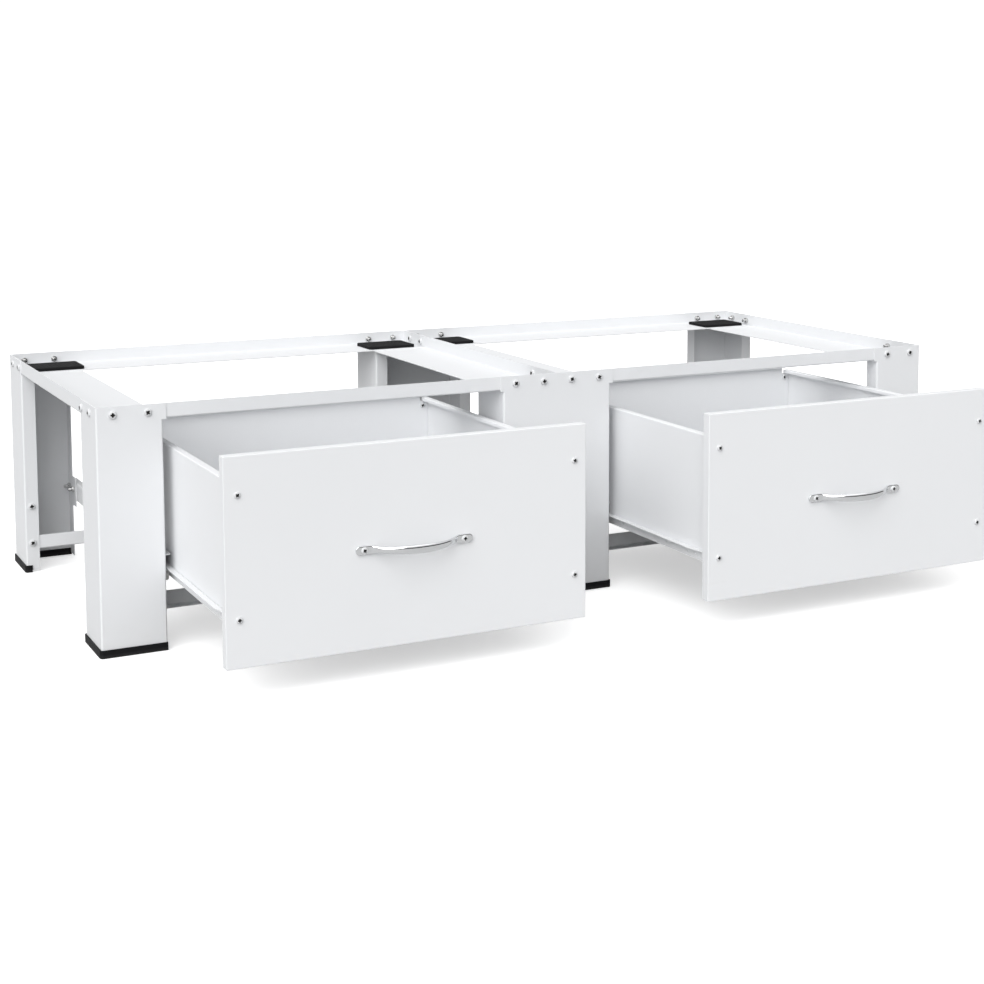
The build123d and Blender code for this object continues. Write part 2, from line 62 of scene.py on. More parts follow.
# %% [markdown]
# ## Points and faces
# Most of the small pieces are turned or swept: a row of points is repeated along an axis or a path,
# and each row is bridged to the next. That could be done with modifiers on curves, but plain lists
# of points and faces keep every size in sight. A face also has a kind, which later picks one of its
# piece's finishes, as the dark recess in a white screw head needs.


# %% Shape
class Shape:
    """Points and faces gathered for one piece. A face's kind picks one of the piece's finishes."""

    def __init__(self):
        self.points = []
        self.faces = []
        self.kinds = []

    def ring(self, points):
        """Adds a closed row of points and returns their numbers."""
        first = len(self.points)
        self.points.extend(Vector(p) for p in points)
        return list(range(first, len(self.points)))

    def cap(self, row, kind=0):
        """Adds one face."""
        self.faces.append(tuple(row))
        self.kinds.append(kind)

    def bridge(self, a, b, kind=0):
        """Joins two rows of equal length with a band of faces."""
        count = len(a)
        for i in range(count):
            j = (i + 1) % count
            self.cap((a[i], a[j], b[j], b[i]), kind)

    def bridge_all(self, rows, kind=0):
        """Joins each row to the next."""
        for a, b in zip(rows, rows[1:]):
            self.bridge(a, b, kind)

    def placed(self, other, matrix):
        """Adds a copy of another shape, moved by a matrix."""
        first = len(self.points)
        self.kinds.extend(other.kinds)
        self.points.extend(matrix @ p for p in other.points)
        self.faces.extend(tuple(i + first for i in face) for face in other.faces)


def circle(radius, z, count, turn=0.0):
    """A ring of points about the Z axis."""
    steps = [2 * math.pi * i / count + turn for i in range(count)]
    return [(radius * math.cos(t), radius * math.sin(t), z) for t in steps]


# %% [markdown]
# ## From a shape to a piece
# A piece has to move with the body that carries it, take a material slot and hide the CAD nodes it
# stands for. `add_piece` does all of that in one place. Faces that meet at less than the given angle
# are shaded as one smooth skin, and sharper edges stay crisp.

# %% Piece helper
SMOOTH_BELOW = 40.0
finish_names = {}


def add_piece(name, shape, body, slot, replaces, smooth=SMOOTH_BELOW, more=()):
    """Makes one mesh piece that rides on a body, takes its slot's finish and hides the CAD nodes it
    stands for.
    """
    mesh = bpy.data.meshes.new(name)
    mesh.from_pydata([tuple(p) for p in shape.points], [], shape.faces)
    mesh.polygons.foreach_set("material_index", shape.kinds)
    mesh.validate()
    mesh.update()
    tool = bmesh.new()
    tool.from_mesh(mesh)
    bmesh.ops.recalc_face_normals(tool, faces=tool.faces)
    tool.to_mesh(mesh)
    tool.free()
    mesh.shade_smooth()
    mesh.set_sharp_from_angle(angle=math.radians(smooth))
    piece = bpy.data.objects.new(name, mesh)
    bpy.context.scene.collection.objects.link(piece)
    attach(piece, body)
    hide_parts(*replaces)
    finish_names[name] = (slot, *more)
    return piece


# %% [markdown]
# ## Reading places from the CAD nodes
# A group node, such as all the bolts of the frame, holds many solids in one mesh. To put a finer
# bolt in each place, the mesh is parted again: points joined by edges belong to one solid.


# %% Solids of a node
SAME_POINT_DIGITS = 6


def solids_of(node):
    """The points of each separate solid in a CAD node."""
    mesh = nodes[node].data
    points = np.array([v.co for v in mesh.vertices])
    keys = {}
    same = np.zeros(len(points), int)
    for i, p in enumerate(np.round(points, SAME_POINT_DIGITS)):
        same[i] = keys.setdefault(tuple(p), len(keys))
    owner = list(range(len(keys)))

    def top(i):
        while owner[i] != i:
            owner[i] = owner[owner[i]]
            i = owner[i]
        return i

    for edge in mesh.edges:
        a, b = (top(same[v]) for v in edge.vertices)
        owner[a] = b
    groups = {}
    for i in range(len(points)):
        groups.setdefault(top(same[i]), []).append(i)
    return [points[members] for members in groups.values()]


# %% [markdown]
# A fastener's own axis is the odd one out of its three measures, and its head is at the end that
# reaches further from that axis. From these two facts comes a matrix that carries a bolt drawn along
# Z into its place.


# %% Axis of a fastener
def axis_frame(points):
    """A matrix whose Z runs along a fastener from its head's outer face, and the head's diameter."""
    low, high = points.min(axis=0), points.max(axis=0)
    size = high - low
    axis = int(np.argmax(np.abs(size - np.median(size))))
    others = [i for i in range(3) if i != axis]
    middle = (low + high) / 2
    reach = np.linalg.norm((points - middle)[:, others], axis=1)
    near_low = points[:, axis] < middle[axis]
    sign = 1.0 if reach[near_low].max() >= reach[~near_low].max() else -1.0
    origin = middle.copy()
    origin[axis] = low[axis] if sign > 0 else high[axis]
    way = Vector((0, 0, 0))
    way[axis] = sign
    side = Vector((0, 0, 1)) if axis != 2 else Vector((1, 0, 0))
    rows = Matrix((side, way.cross(side), way)).transposed()
    return Matrix.Translation(Vector(origin)) @ rows.to_4x4(), float(max(size[others]))


# %% [markdown]
# ## Screw heads
# White pan heads with a cross recess show all along the rims and at the corners of the drawer
# fronts. From a step away such a head is a pale ring around a dark dot, so the recess is a real pit:
# a cross-shaped mouth in the flat top, drawn down to a smaller cross. The flat top between the round
# rim and the cross is filled with triangles, since no simple band of faces fits there.

# %% Cross recess
# Faces of the RECESS kind take a near-black finish: painted shade in the pits of the screw heads.
RECESS = 1
PAINTED = 2
HEAD_SIDES = 32
ARM_SHARE = 0.58
ARM_WIDTH_SHARE = 0.27
ARM_TIP_SHARE = 0.6
PIT_ARM_SHARE = 0.62
PIT_WIDTH_SHARE = 0.7
PIT_DEPTH_SHARE = 0.62
HEAD_PROFILE = ((0.60, 0.0), (0.76, 0.06), (0.90, 0.22), (0.98, 0.48), (1.0, 0.72), (1.0, 1.0))


def cross_outline(arm, width, z):
    """The twelve corners of a cross recess whose arms narrow towards their tips."""
    tip = width * ARM_TIP_SHARE
    quarter = [(arm, -tip), (arm, tip), (width, width)]
    turns = [(1, 0), (0, 1), (-1, 0), (0, -1)]
    return [(x * c - y * s, x * s + y * c, z) for c, s in turns for x, y in quarter]


def fill_between(shape, outer, inner, kind):
    """Fills the flat field between two loops with triangles."""
    tool = bmesh.new()
    numbers = {tool.verts.new(shape.points[i]): i for i in outer + inner}
    made = list(numbers)
    loops = made[: len(outer)], made[len(outer) :]
    edges = [tool.edges.new((row[i - 1], row[i])) for row in loops for i in range(len(row))]
    filled = bmesh.ops.triangle_fill(tool, use_beauty=True, use_dissolve=False, edges=edges)
    for part in filled["geom"]:
        if isinstance(part, bmesh.types.BMFace):
            shape.cap([numbers[v] for v in part.verts], kind)
    tool.free()


# %% Pan head
def pan_head(radius, height):
    """A domed head from Z = 0, its outer face, to its seat at Z = height, with a cross pit."""
    shape = Shape()
    rows = [shape.ring(circle(radius * r, height * z, HEAD_SIDES)) for r, z in HEAD_PROFILE]
    shape.bridge_all(rows, PAINTED)
    shape.cap(rows[-1], PAINTED)
    arm, width = radius * ARM_SHARE, radius * ARM_WIDTH_SHARE
    mouth = shape.ring(cross_outline(arm, width, 0.0))
    pit = cross_outline(arm * PIT_ARM_SHARE, width * PIT_WIDTH_SHARE, height * PIT_DEPTH_SHARE)
    floor = shape.ring(pit)
    shape.bridge(mouth, floor, RECESS)
    shape.cap(floor, RECESS)
    fill_between(shape, rows[0], mouth, PAINTED)
    return shape


# %% [markdown]
# ## Threads
# Behind the rims the bolts end in bare threads with a nut on each. A thread could be a normal map,
# but the ends stand clear against the white sheet, so it is shaped: a tube whose radius rises and
# falls along a helix.

# %% Screw thread
THREAD_SIDES = 14
THREAD_STEPS = 4
THREAD_DEPTH_SHARE = 0.3


def thread(radius, start, end, pitch):
    """A screw thread about Z: a tube whose radius rises and falls along a helix."""
    shape = Shape()
    depth = pitch * THREAD_DEPTH_SHARE
    count = max(2, int(round((end - start) / pitch * THREAD_STEPS)))
    rows = []
    for step in range(count + 1):
        z = start + (end - start) * step / count
        row = []
        for i in range(THREAD_SIDES):
            turn = i / THREAD_SIDES
            phase = (z / pitch - turn) % 1.0
            r = radius - depth * abs(2 * phase - 1)
            row.append((r * math.cos(2 * math.pi * turn), r * math.sin(2 * math.pi * turn), z))
        rows.append(shape.ring(row))
    rows.append(shape.ring(circle(radius - 2 * depth, end + depth, THREAD_SIDES)))
    shape.bridge_all(rows)
    shape.cap(rows[0])
    shape.cap(rows[-1])
    return shape


# %% Screws
LOW_HEAD_PROFILE = ((0.8, 0.0), (0.95, 0.3), (1.0, 1.0))


def low_head(radius, height):
    """A flat head for the narrow room beside a drawer."""
    shape = Shape()
    rows = [shape.ring(circle(radius * r, height * z, HEAD_SIDES)) for r, z in LOW_HEAD_PROFILE]
    shape.bridge_all(rows, PAINTED)
    shape.cap(rows[0], PAINTED)
    shape.cap(rows[-1], PAINTED)
    return shape


def screw(head, head_radius, head_height, diameter, length, pitch):
    """A head of the given kind from Z = 0, with a threaded shank behind it."""
    shape = head(head_radius, head_height)
    end = head_height + length - pitch / 2
    shape.placed(thread(diameter / 2, head_height, end, pitch), Matrix())
    return shape


bolt_shape = screw(
    pan_head, head_radius=5.0 * MM, head_height=2.8 * MM,
    diameter=5.0 * MM, length=12.0 * MM, pitch=0.8 * MM,
)
screw_shape = screw(
    pan_head, head_radius=4.0 * MM, head_height=2.2 * MM,
    diameter=4.0 * MM, length=9.0 * MM, pitch=0.7 * MM,
)
rail_screw_shape = screw(
    low_head, head_radius=2.8 * MM, head_height=0.7 * MM,
    diameter=3.0 * MM, length=4.0 * MM, pitch=0.5 * MM,
)
print("faces of a bolt:", len(bolt_shape.faces), "of a screw:", len(screw_shape.faces))

# %% [markdown]
# ## Nuts
# A hexagon nut is turned to a slight cone at both faces, which leaves a curved edge on each flat. The
# same curve comes from taking, at every angle, the smaller of the hexagon's reach and a circle's.

# %% Hexagon nut
NUT_POINTS = 48
NUT_CONE = ((1.02, 0.0), (1.10, 0.05), (2.0, 0.16), (2.0, 0.84), (1.10, 0.95), (1.02, 1.0))
SIXTH = math.pi / 3


def hex_nut(width, height, hole):
    """A nut from Z = 0 to its height, with its corners turned off and a bore."""
    shape = Shape()
    flat = width / 2
    rows = []
    for limit, z in NUT_CONE:
        row = []
        for i in range(NUT_POINTS):
            t = 2 * math.pi * i / NUT_POINTS
            r = min(flat / math.cos(t % SIXTH - SIXTH / 2), flat * limit)
            row.append((r * math.cos(t + SIXTH / 2), r * math.sin(t + SIXTH / 2), height * z))
        rows.append(shape.ring(row))
    rows += [shape.ring(circle(hole / 2, z, NUT_POINTS, SIXTH / 2)) for z in (height, 0.0)]
    shape.bridge_all(rows + rows[:1])
    return shape


nut_shape = hex_nut(width=8.0 * MM, height=4.0 * MM, hole=5.1 * MM)
print("faces of a nut:", len(nut_shape.faces))

# %% [markdown]
# ## Placing the fasteners
# Nobody lines up the slots of forty screws, so each one is turned by its own angle. One piece holds
# all the fasteners of a group, as the CAD node does.

# %% Place the fasteners
SMALL_HEAD_BELOW = 6.5 * MM
SCREW_TURN = 37
CROSS_REPEAT = 90
NUT_SMOOTH = 25.0
# The first finish is painted shade for the pits of the heads, the second the white head paint.
HEAD_FINISHES = ("recess_grime", "head_paint")


def fasten(name, node, body, large, small=None, smooth=SMOOTH_BELOW, more=HEAD_FINISHES):
    """One piece with a fastener at the place of each solid in a CAD node."""
    whole = Shape()
    for index, points in enumerate(solids_of(node)):
        matrix, diameter = axis_frame(points)
        spin = Matrix.Rotation(math.radians(index * SCREW_TURN % CROSS_REPEAT), 4, "Z")
        shape = small if small is not None and diameter < SMALL_HEAD_BELOW else large
        whole.placed(shape, matrix @ spin)
    return add_piece(name, whole, body, "zinc_steel", [node], smooth, more)


fasten("deck_bolts", "frame_bolts", "frame", bolt_shape)
fasten("deck_nuts", "frame_nuts", "frame", nut_shape, smooth=NUT_SMOOTH, more=())
for drawer in DRAWERS:
    fasten(drawer + "_face_screws", drawer + "_front_screws", drawer, screw_shape)
    fasten(drawer + "_inner_screws", drawer + "_box_screws", drawer, screw_shape, rail_screw_shape)
print("fastener groups:", len(finish_names))

# %% [markdown]
# ## Handles
# The handle is a plated strap bent into a bow. Its flat lugs have round ends and carry the screws, it
# narrows at the necks, and it swells again to a nearly oval section at the middle of the bow. A curve
# with a bevel could not change its section so freely, so the section is swept by hand.

# %% The strap along its length
LUG_THICKNESS = 3.0 * MM
BOW_THICKNESS = 4.6 * MM
LUG_HEIGHT = 11.0 * MM
NECK_HEIGHT = 8.4 * MM
BOW_HEIGHT = 10.4 * MM
NECK_PLACE = 51.0 * MM
BOW_FOOT = 53.0 * MM
BEND_SOFTNESS = 2.6 * MM
BEND_END = -4 * BEND_SOFTNESS
LUG_BLEND = 6.0 * MM
BOW_CORNER = 0.85
LUG_CORNER = 0.45


def soft_step(a, b, x):
    """Rises smoothly from 0 at a to 1 at b."""
    t = min(max((x - a) / (b - a), 0.0), 1.0)
    return t * t * (3 - 2 * t)


def soft_floor(x):
    """The value itself where it is well above 0, and close to 0 below."""
    return 0.5 * (x + math.hypot(x, BEND_SOFTNESS))


def bow_depth(x, reach):
    """How far the middle of the strap stands off the panel at a place along the handle."""
    rise = reach - LUG_THICKNESS / 2 - BOW_THICKNESS / 2
    radius = (BOW_FOOT**2 + rise**2) / (2 * rise)
    arc = math.sqrt(max(radius**2 - x**2, 0.0)) - (radius - rise)
    return LUG_THICKNESS / 2 + soft_floor(max(arc, BEND_END)) * rise / soft_floor(rise)


def strap_section(x, half):
    """Height, thickness and squareness of the strap at a place along the handle."""
    place = abs(x)
    bow = BOW_HEIGHT + (NECK_HEIGHT - BOW_HEIGHT) * soft_step(0.0, NECK_PLACE, place)
    height = bow + (LUG_HEIGHT - bow) * soft_step(NECK_PLACE, NECK_PLACE + LUG_BLEND, place)
    radius = LUG_HEIGHT / 2
    short = radius - (half - place)
    if short > 0:
        height = min(height, 2 * math.sqrt(radius**2 - short**2))
    flat = soft_step(NECK_PLACE - LUG_BLEND, NECK_PLACE + LUG_BLEND / 2, place)
    thickness = BOW_THICKNESS + (LUG_THICKNESS - BOW_THICKNESS) * flat
    corner = BOW_CORNER + (LUG_CORNER - BOW_CORNER) * flat
    return height, thickness, corner


# %% Sweep the handles
HANDLE_STEPS = 120
SECTION_POINTS = 24
SLOPE_STEP = 0.2 * MM
TIP_GAP = 0.02 * MM
HANDLE_SMOOTH = 50.0


def rounded_power(value, power):
    """A power that keeps the sign, for sections between an oval and a rectangle."""
    return math.copysign(abs(value) ** power, value)


def bow_handle(drawer):
    """The handle of one drawer, swept along its bow in the place of the CAD handle."""
    low, high = (Vector(corner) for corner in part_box(drawer + "_handle"))
    middle = (low + high) / 2
    half, reach = (high.x - low.x) / 2, high.y - low.y
    shape = Shape()
    rows = []
    for step in range(HANDLE_STEPS + 1):
        x = -(half - TIP_GAP) * math.cos(math.pi * step / HANDLE_STEPS)
        rise = bow_depth(x + SLOPE_STEP, reach) - bow_depth(x - SLOPE_STEP, reach)
        along = Vector((2 * SLOPE_STEP, -rise, 0.0)).normalized()
        out = Vector((along.y, -along.x, 0.0))
        height, thickness, corner = strap_section(x, half)
        centre = Vector((middle.x + x, high.y - bow_depth(x, reach), middle.z))
        row = []
        for i in range(SECTION_POINTS):
            t = 2 * math.pi * i / SECTION_POINTS
            across = out * rounded_power(math.cos(t), corner) * thickness / 2
            up = Vector((0, 0, rounded_power(math.sin(t), corner) * height / 2))
            row.append(centre + across + up)
        rows.append(shape.ring(row))
    shape.bridge_all(rows)
    shape.cap(rows[0])
    shape.cap(rows[-1])
    node = drawer + "_handle"
    return add_piece(drawer + "_bow", shape, drawer, "handle_chrome", [node], HANDLE_SMOOTH)


for drawer in DRAWERS:
    print("handle faces:", len(bow_handle(drawer).data.polygons))

# %% [markdown]
# ## Rubber pads
# A machine's feet stand on black rubber pads at the corners of each bay. A pad is moulded in one
# piece, with a rounded rim around a sunk field of ribs that grip. The rim is a stack of outlines,
# each a little further in, and the ribs are laid into the field.

# %% Pad outline
PAD_CORNER = 5.0 * MM
PAD_EDGE = 0.8 * MM
EDGE_MIDDLE = 0.3 * PAD_EDGE
PAD_RIM = 5.0 * MM
LEAST_CORNER = 0.3 * MM
CORNER_STEPS = 8


def pad_outline(half_x, half_y, inset, z):
    """Points around a rectangle with round corners, drawn in by an inset."""
    radius = max(PAD_CORNER - inset, LEAST_CORNER)
    points = []
    for quarter, (side_x, side_y) in enumerate(((1, 1), (-1, 1), (-1, -1), (1, -1))):
        for i in range(CORNER_STEPS + 1):
            t = math.pi / 2 * (quarter + i / CORNER_STEPS)
            x = side_x * (half_x - inset - radius) + radius * math.cos(t)
            y = side_y * (half_y - inset - radius) + radius * math.sin(t)
            points.append((x, y, z))
    return points


# %% Pad and its ribs
FIELD_DEPTH = 0.5 * MM
FIELD_WALL = 0.4 * MM
RIB_PITCH = 5.0 * MM
RIB_MARGIN = 1.2 * MM
RIB_PROFILE_MM = ((-1.5, -0.6), (-1.2, -0.2), (-0.7, 0.0), (0.7, 0.0), (1.2, -0.2), (1.5, -0.6))


def pad_shape(size):
    """A pad about the origin, from Z = 0 to its thickness, with ribs along Y."""
    half_x, half_y, thickness = size[0] / 2, size[1] / 2, size[2]
    shape = Shape()
    levels = (
        (0.0, 0.0),
        (0.0, thickness - PAD_EDGE),
        (EDGE_MIDDLE, thickness - EDGE_MIDDLE),
        (PAD_EDGE, thickness),
        (PAD_RIM, thickness),
        (PAD_RIM + FIELD_WALL, thickness - FIELD_DEPTH),
    )
    rows = [shape.ring(pad_outline(half_x, half_y, inset, z)) for inset, z in levels]
    shape.bridge_all(rows)
    shape.cap(rows[0])
    shape.cap(rows[-1])
    rib_half = half_y - PAD_RIM - RIB_MARGIN
    count = int(2 * (half_x - PAD_RIM - RIB_MARGIN) // RIB_PITCH)
    for k in range(count + 1):
        x = (k - count / 2) * RIB_PITCH
        ends = []
        for y in (-rib_half, rib_half):
            profile = [(x + dx * MM, y, thickness + dz * MM) for dx, dz in RIB_PROFILE_MM]
            ends.append(shape.ring(profile))
        shape.bridge_all(ends)
        shape.cap(ends[0])
        shape.cap(ends[1])
    return shape


# %% Lay the pads
for bay in BAYS:
    whole = Shape()
    for points in solids_of(bay + "_pads"):
        low, high = points.min(axis=0), points.max(axis=0)
        seat = Vector((low + high) / 2)
        seat.z = low[2]
        whole.placed(pad_shape(high - low), Matrix.Translation(seat))
    add_piece(bay + "_rubber_pads", whole, "frame", "pad_rubber", [bay + "_pads"])
    print(bay, "pad faces:", len(whole.faces))

# %% [markdown]
# ## Rollers
# Each fixed runner has a nylon roller at its front, and each drawer rail one at its back. They show
# when a drawer is pulled out. A roller is turned from a profile, with a crowned tread and dished
# sides, and moulded ribs join its hub to its rim.

# %% Nylon roller
ROLLER_SIDES = 64
ROLLER_RIBS = 8
AXLE_BORE = 5.1 * MM
RIM_WALL = 1.6 * MM
HUB_WALL = 1.3 * MM
DISH = 0.9 * MM
ROUND = 0.2 * MM
TREAD_ROUND = 0.7 * MM
RIB_BASE_HALF = 0.5 * MM
RIB_LIP_HALF = 0.3 * MM
RIB_DROP = 0.35 * MM


def side_rib(hub, rim, base, lip):
    """One rib in the dish of a roller, narrower at its lip than at its base."""
    rib = Shape()
    rows = []
    for half, z in ((RIB_BASE_HALF, base), (RIB_LIP_HALF, lip)):
        rows.append(rib.ring([(hub, -half, z), (rim, -half, z), (rim, half, z), (hub, half, z)]))
    rib.bridge_all(rows)
    rib.cap(rows[0])
    rib.cap(rows[1])
    return rib


def roller_shape(diameter, width):
    """A roller about Z from Z = 0 to its width."""
    shape = Shape()
    outer, bore = diameter / 2, AXLE_BORE / 2
    rim, hub = outer - RIM_WALL, bore + HUB_WALL
    side = [(bore, 0.0), (hub - ROUND, 0.0), (hub, ROUND), (hub + ROUND / 2, DISH)]
    side += [(rim - ROUND, DISH), (rim, ROUND), (rim + ROUND, 0.0), (outer - TREAD_ROUND, 0.0)]
    side += [(outer - ROUND, ROUND), (outer, TREAD_ROUND)]
    profile = side + [(r, width - z) for r, z in reversed(side)]
    rows = [shape.ring(circle(r, z, ROLLER_SIDES)) for r, z in profile]
    shape.bridge_all(rows + rows[:1])
    for k in range(ROLLER_RIBS):
        turn = Matrix.Rotation(2 * math.pi * k / ROLLER_RIBS, 4, "Z")
        base = DISH + ROUND
        shape.placed(side_rib(hub, rim, base, RIB_DROP), turn)
        shape.placed(side_rib(hub, rim, width - base, width - RIB_DROP), turn)
    return shape


# %% Set the rollers on their axles
for node in sorted(name for name in nodes if name.endswith("_roller")):
    low, high = (Vector(corner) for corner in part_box(node))
    middle = (low + high) / 2
    end = Matrix.Translation((low.x, middle.y, middle.z))
    lay_down = Matrix.Rotation(math.pi / 2, 4, "Y")
    whole = Shape()
    whole.placed(roller_shape(diameter=high.y - low.y, width=high.x - low.x), end @ lay_down)
    add_piece(node + "_wheel", whole, node, "roller_plastic", [node])
print("pieces built:", len(finish_names))

# %% [markdown]
# ## Floor
# The pedestal stands on a plain pale floor that runs far past the picture's edges, so that no horizon
# shows. It lies a hair under the feet, which keeps the two faces from flickering through each other.

# %% Lay the floor
FLOOR_HALF = 150.0
FLOOR_GAP = 0.5 * MM
corners = [(-FLOOR_HALF, -FLOOR_HALF), (FLOOR_HALF, -FLOOR_HALF)]
corners += [(FLOOR_HALF, FLOOR_HALF), (-FLOOR_HALF, FLOOR_HALF)]
floor_mesh = bpy.data.meshes.new("floor")
floor_mesh.from_pydata([(x, y, -FLOOR_GAP) for x, y in corners], [], [(0, 1, 2, 3)])
floor = bpy.data.objects.new("floor", floor_mesh)
bpy.context.scene.collection.objects.link(floor)
print("floor side in metres:", 2 * FLOOR_HALF)

# %% [markdown]
# ## Light
# White sheet steel is told from a white backdrop only by soft shading, so the light is wide and far
# away: one lamp from the front left and one overhead. A sun lamp with a large angle gives the same
# light everywhere on the floor, where an area lamp would leave a bright patch.


# %% Soft lamps
def soft_sun(name, azimuth, elevation, spread, strength):
    """A wide, far light: azimuth is turned from the front to the left, elevation up from the floor."""
    data = bpy.data.lights.new(name, "SUN")
    data.angle = math.radians(spread)
    data.energy = strength
    light = bpy.data.objects.new(name, data)
    turn, rise = math.radians(azimuth), math.radians(elevation)
    flat = math.cos(rise)
    source = Vector((-math.sin(turn) * flat, -math.cos(turn) * flat, math.sin(rise)))
    light.rotation_mode = "QUATERNION"
    light.rotation_quaternion = source.to_track_quat("Z", "Y")
    bpy.context.scene.collection.objects.link(light)
    return light


soft_sun("key_light", azimuth=46.0, elevation=34.0, spread=60.0, strength=2.7)
soft_sun("top_light", azimuth=0.0, elevation=85.0, spread=80.0, strength=0.85)

# %% [markdown]
# ## Backdrop
# The camera sees plain white behind the pedestal. The matt sheets get a gentle fill from all round,
# and the plated handles mirror a room with a dark band near the horizon: without something dark to
# mirror, chrome looks like white paint. The Light Path node tells the three kinds of ray apart.


# %% Colour helpers
def grey(value):
    """An opaque grey."""
    return (value, value, value, 1.0)


def color_mix(tree, factor, a, b):
    """A colour mix node with its factor, first and second colour linked or set."""
    node = tree.nodes.new("ShaderNodeMix")
    node.data_type = "RGBA"
    sockets = {s.identifier: s for s in node.inputs}
    for key, value in (("Factor_Float", factor), ("A_Color", a), ("B_Color", b)):
        if isinstance(value, bpy.types.NodeSocket):
            tree.links.new(value, sockets[key])
        else:
            sockets[key].default_value = value
    return {s.identifier: s for s in node.outputs}["Result_Color"]


# %% Backdrop by kind of ray
SKY_FILL = 0.50
SKY_SEEN = 1.05
ROOM_STOPS = ((0.0, 0.40), (0.05, 0.05), (0.22, 0.06), (0.32, 0.70), (0.60, 1.0))

world = bpy.data.worlds.new("studio")
bpy.context.scene.world = world
world.use_nodes = True
studio = world.node_tree
ray = studio.nodes.new("ShaderNodeLightPath")
way = studio.nodes.new("ShaderNodeTexCoord")
height = studio.nodes.new("ShaderNodeSeparateXYZ")
room = studio.nodes.new("ShaderNodeValToRGB")
room.color_ramp.interpolation = "EASE"
for place, _ in ROOM_STOPS[1:-1]:
    room.color_ramp.elements.new(place)
for stop, (place, shade) in zip(room.color_ramp.elements, ROOM_STOPS):
    stop.position = place
    stop.color = grey(shade)
studio.links.new(way.outputs["Generated"], height.inputs[0])
studio.links.new(height.outputs["Z"], room.inputs["Fac"])
seen = color_mix(studio, ray.outputs["Is Glossy Ray"], grey(SKY_FILL), room.outputs["Color"])
seen = color_mix(studio, ray.outputs["Is Camera Ray"], seen, grey(SKY_SEEN))
studio.links.new(seen, studio.nodes["Background"].inputs["Color"])
print("room bands:", len(room.color_ramp.elements))

# %% [markdown]
# ## Camera
# The lines of the frame in the photograph lead to their vanishing points, and those give the place
# and turn of the camera: a little above the deck and well to the left. The picture is part of a
# larger one, so its middle isn't the lens's middle. The lens shift makes up for that.

# %% Camera
PHOTO_SIDE = 984
SENSOR_WIDTH = 36.0
CAMERA_PLACE = (-1.1056, -2.3550, 0.6581)
CAMERA_YAW = math.radians(27.639)
CAMERA_PITCH = math.radians(5.995)
FOCAL_PIXELS = 1739.7
VIEW_CENTRE_X = 548.8
VIEW_CENTRE_Y = 300.0

camera_data = bpy.data.cameras.new("camera")
camera_data.sensor_width = SENSOR_WIDTH
camera_data.lens = SENSOR_WIDTH * FOCAL_PIXELS / PHOTO_SIDE
camera_data.shift_x = 0.5 - VIEW_CENTRE_X / PHOTO_SIDE
camera_data.shift_y = VIEW_CENTRE_Y / PHOTO_SIDE - 0.5
camera = bpy.data.objects.new("camera", camera_data)
camera.location = CAMERA_PLACE
flat = math.cos(CAMERA_PITCH)
look = Vector((math.sin(CAMERA_YAW) * flat, math.cos(CAMERA_YAW) * flat, -math.sin(CAMERA_PITCH)))
camera.rotation_mode = "QUATERNION"
camera.rotation_quaternion = look.to_track_quat("-Z", "Y")
bpy.context.scene.collection.objects.link(camera)
bpy.context.scene.camera = camera
bpy.context.scene.view_settings.view_transform = "Standard"
print("lens in millimetres:", round(camera_data.lens, 1))

# %% [markdown]
# ## Shared effects
# Every finish here has a fine grain, a slightly cloudy tone and marks of use. Each effect is a node
# group with a few inputs, so that a powder coat and a rubber can share it at different scales. A
# group gives out only colours, masks and normals. The shader itself stays in each material.


# %% Node helpers
def add_node(tree, kind, **values):
    """Adds a shader node and sets its sockets and settings by name."""
    node = tree.nodes.new(kind)
    for key, value in values.items():
        socket = node.inputs.get(key.replace("_", " "))
        if socket is not None:
            socket.default_value = value
        else:
            setattr(node, key, value)
    return node


def new_group(name, inputs, output, kind):
    """An empty node group with named inputs and one output, and its entry and exit nodes."""
    group = bpy.data.node_groups.new(name, "ShaderNodeTree")
    for label in inputs:
        color = "NodeSocketColor" if label == "Color" else "NodeSocketFloat"
        group.interface.new_socket(label, in_out="INPUT", socket_type=color)
    group.interface.new_socket(output, in_out="OUTPUT", socket_type="NodeSocket" + kind)
    return group, group.nodes.new("NodeGroupInput"), group.nodes.new("NodeGroupOutput")


def link_all(tree, *pairs):
    """Links each first socket to its second."""
    for source, target in pairs:
        tree.links.new(source, target)


def use_group(tree, group, **values):
    """Adds a node group to a material and sets its inputs."""
    node = tree.nodes.new("ShaderNodeGroup")
    node.node_tree = group
    for key, value in values.items():
        node.inputs[key].default_value = value
    return node


# %% [markdown]
# Powder coat has a fine texture, rubber a coarser one and plating almost none. Noise drives a bump
# whose depth is a real length.

# %% Fine grain
grain_group, entry, leave = new_group("fine_grain", ["Scale", "Depth"], "Normal", "Vector")
place = add_node(grain_group, "ShaderNodeTexCoord")
noise = add_node(grain_group, "ShaderNodeTexNoise", Detail=3.0, Roughness=0.55)
bump = add_node(grain_group, "ShaderNodeBump", Strength=1.0)
link_all(
    grain_group,
    (place.outputs["Object"], noise.inputs["Vector"]),
    (entry.outputs["Scale"], noise.inputs["Scale"]),
    (noise.outputs["Fac"], bump.inputs["Height"]),
    (entry.outputs["Depth"], bump.inputs["Distance"]),
    (bump.outputs["Normal"], leave.inputs["Normal"]),
)
print("group:", grain_group.name)

# %% [markdown]
# No coat is one even tone. Wide, weak noise darkens the colour here and there.

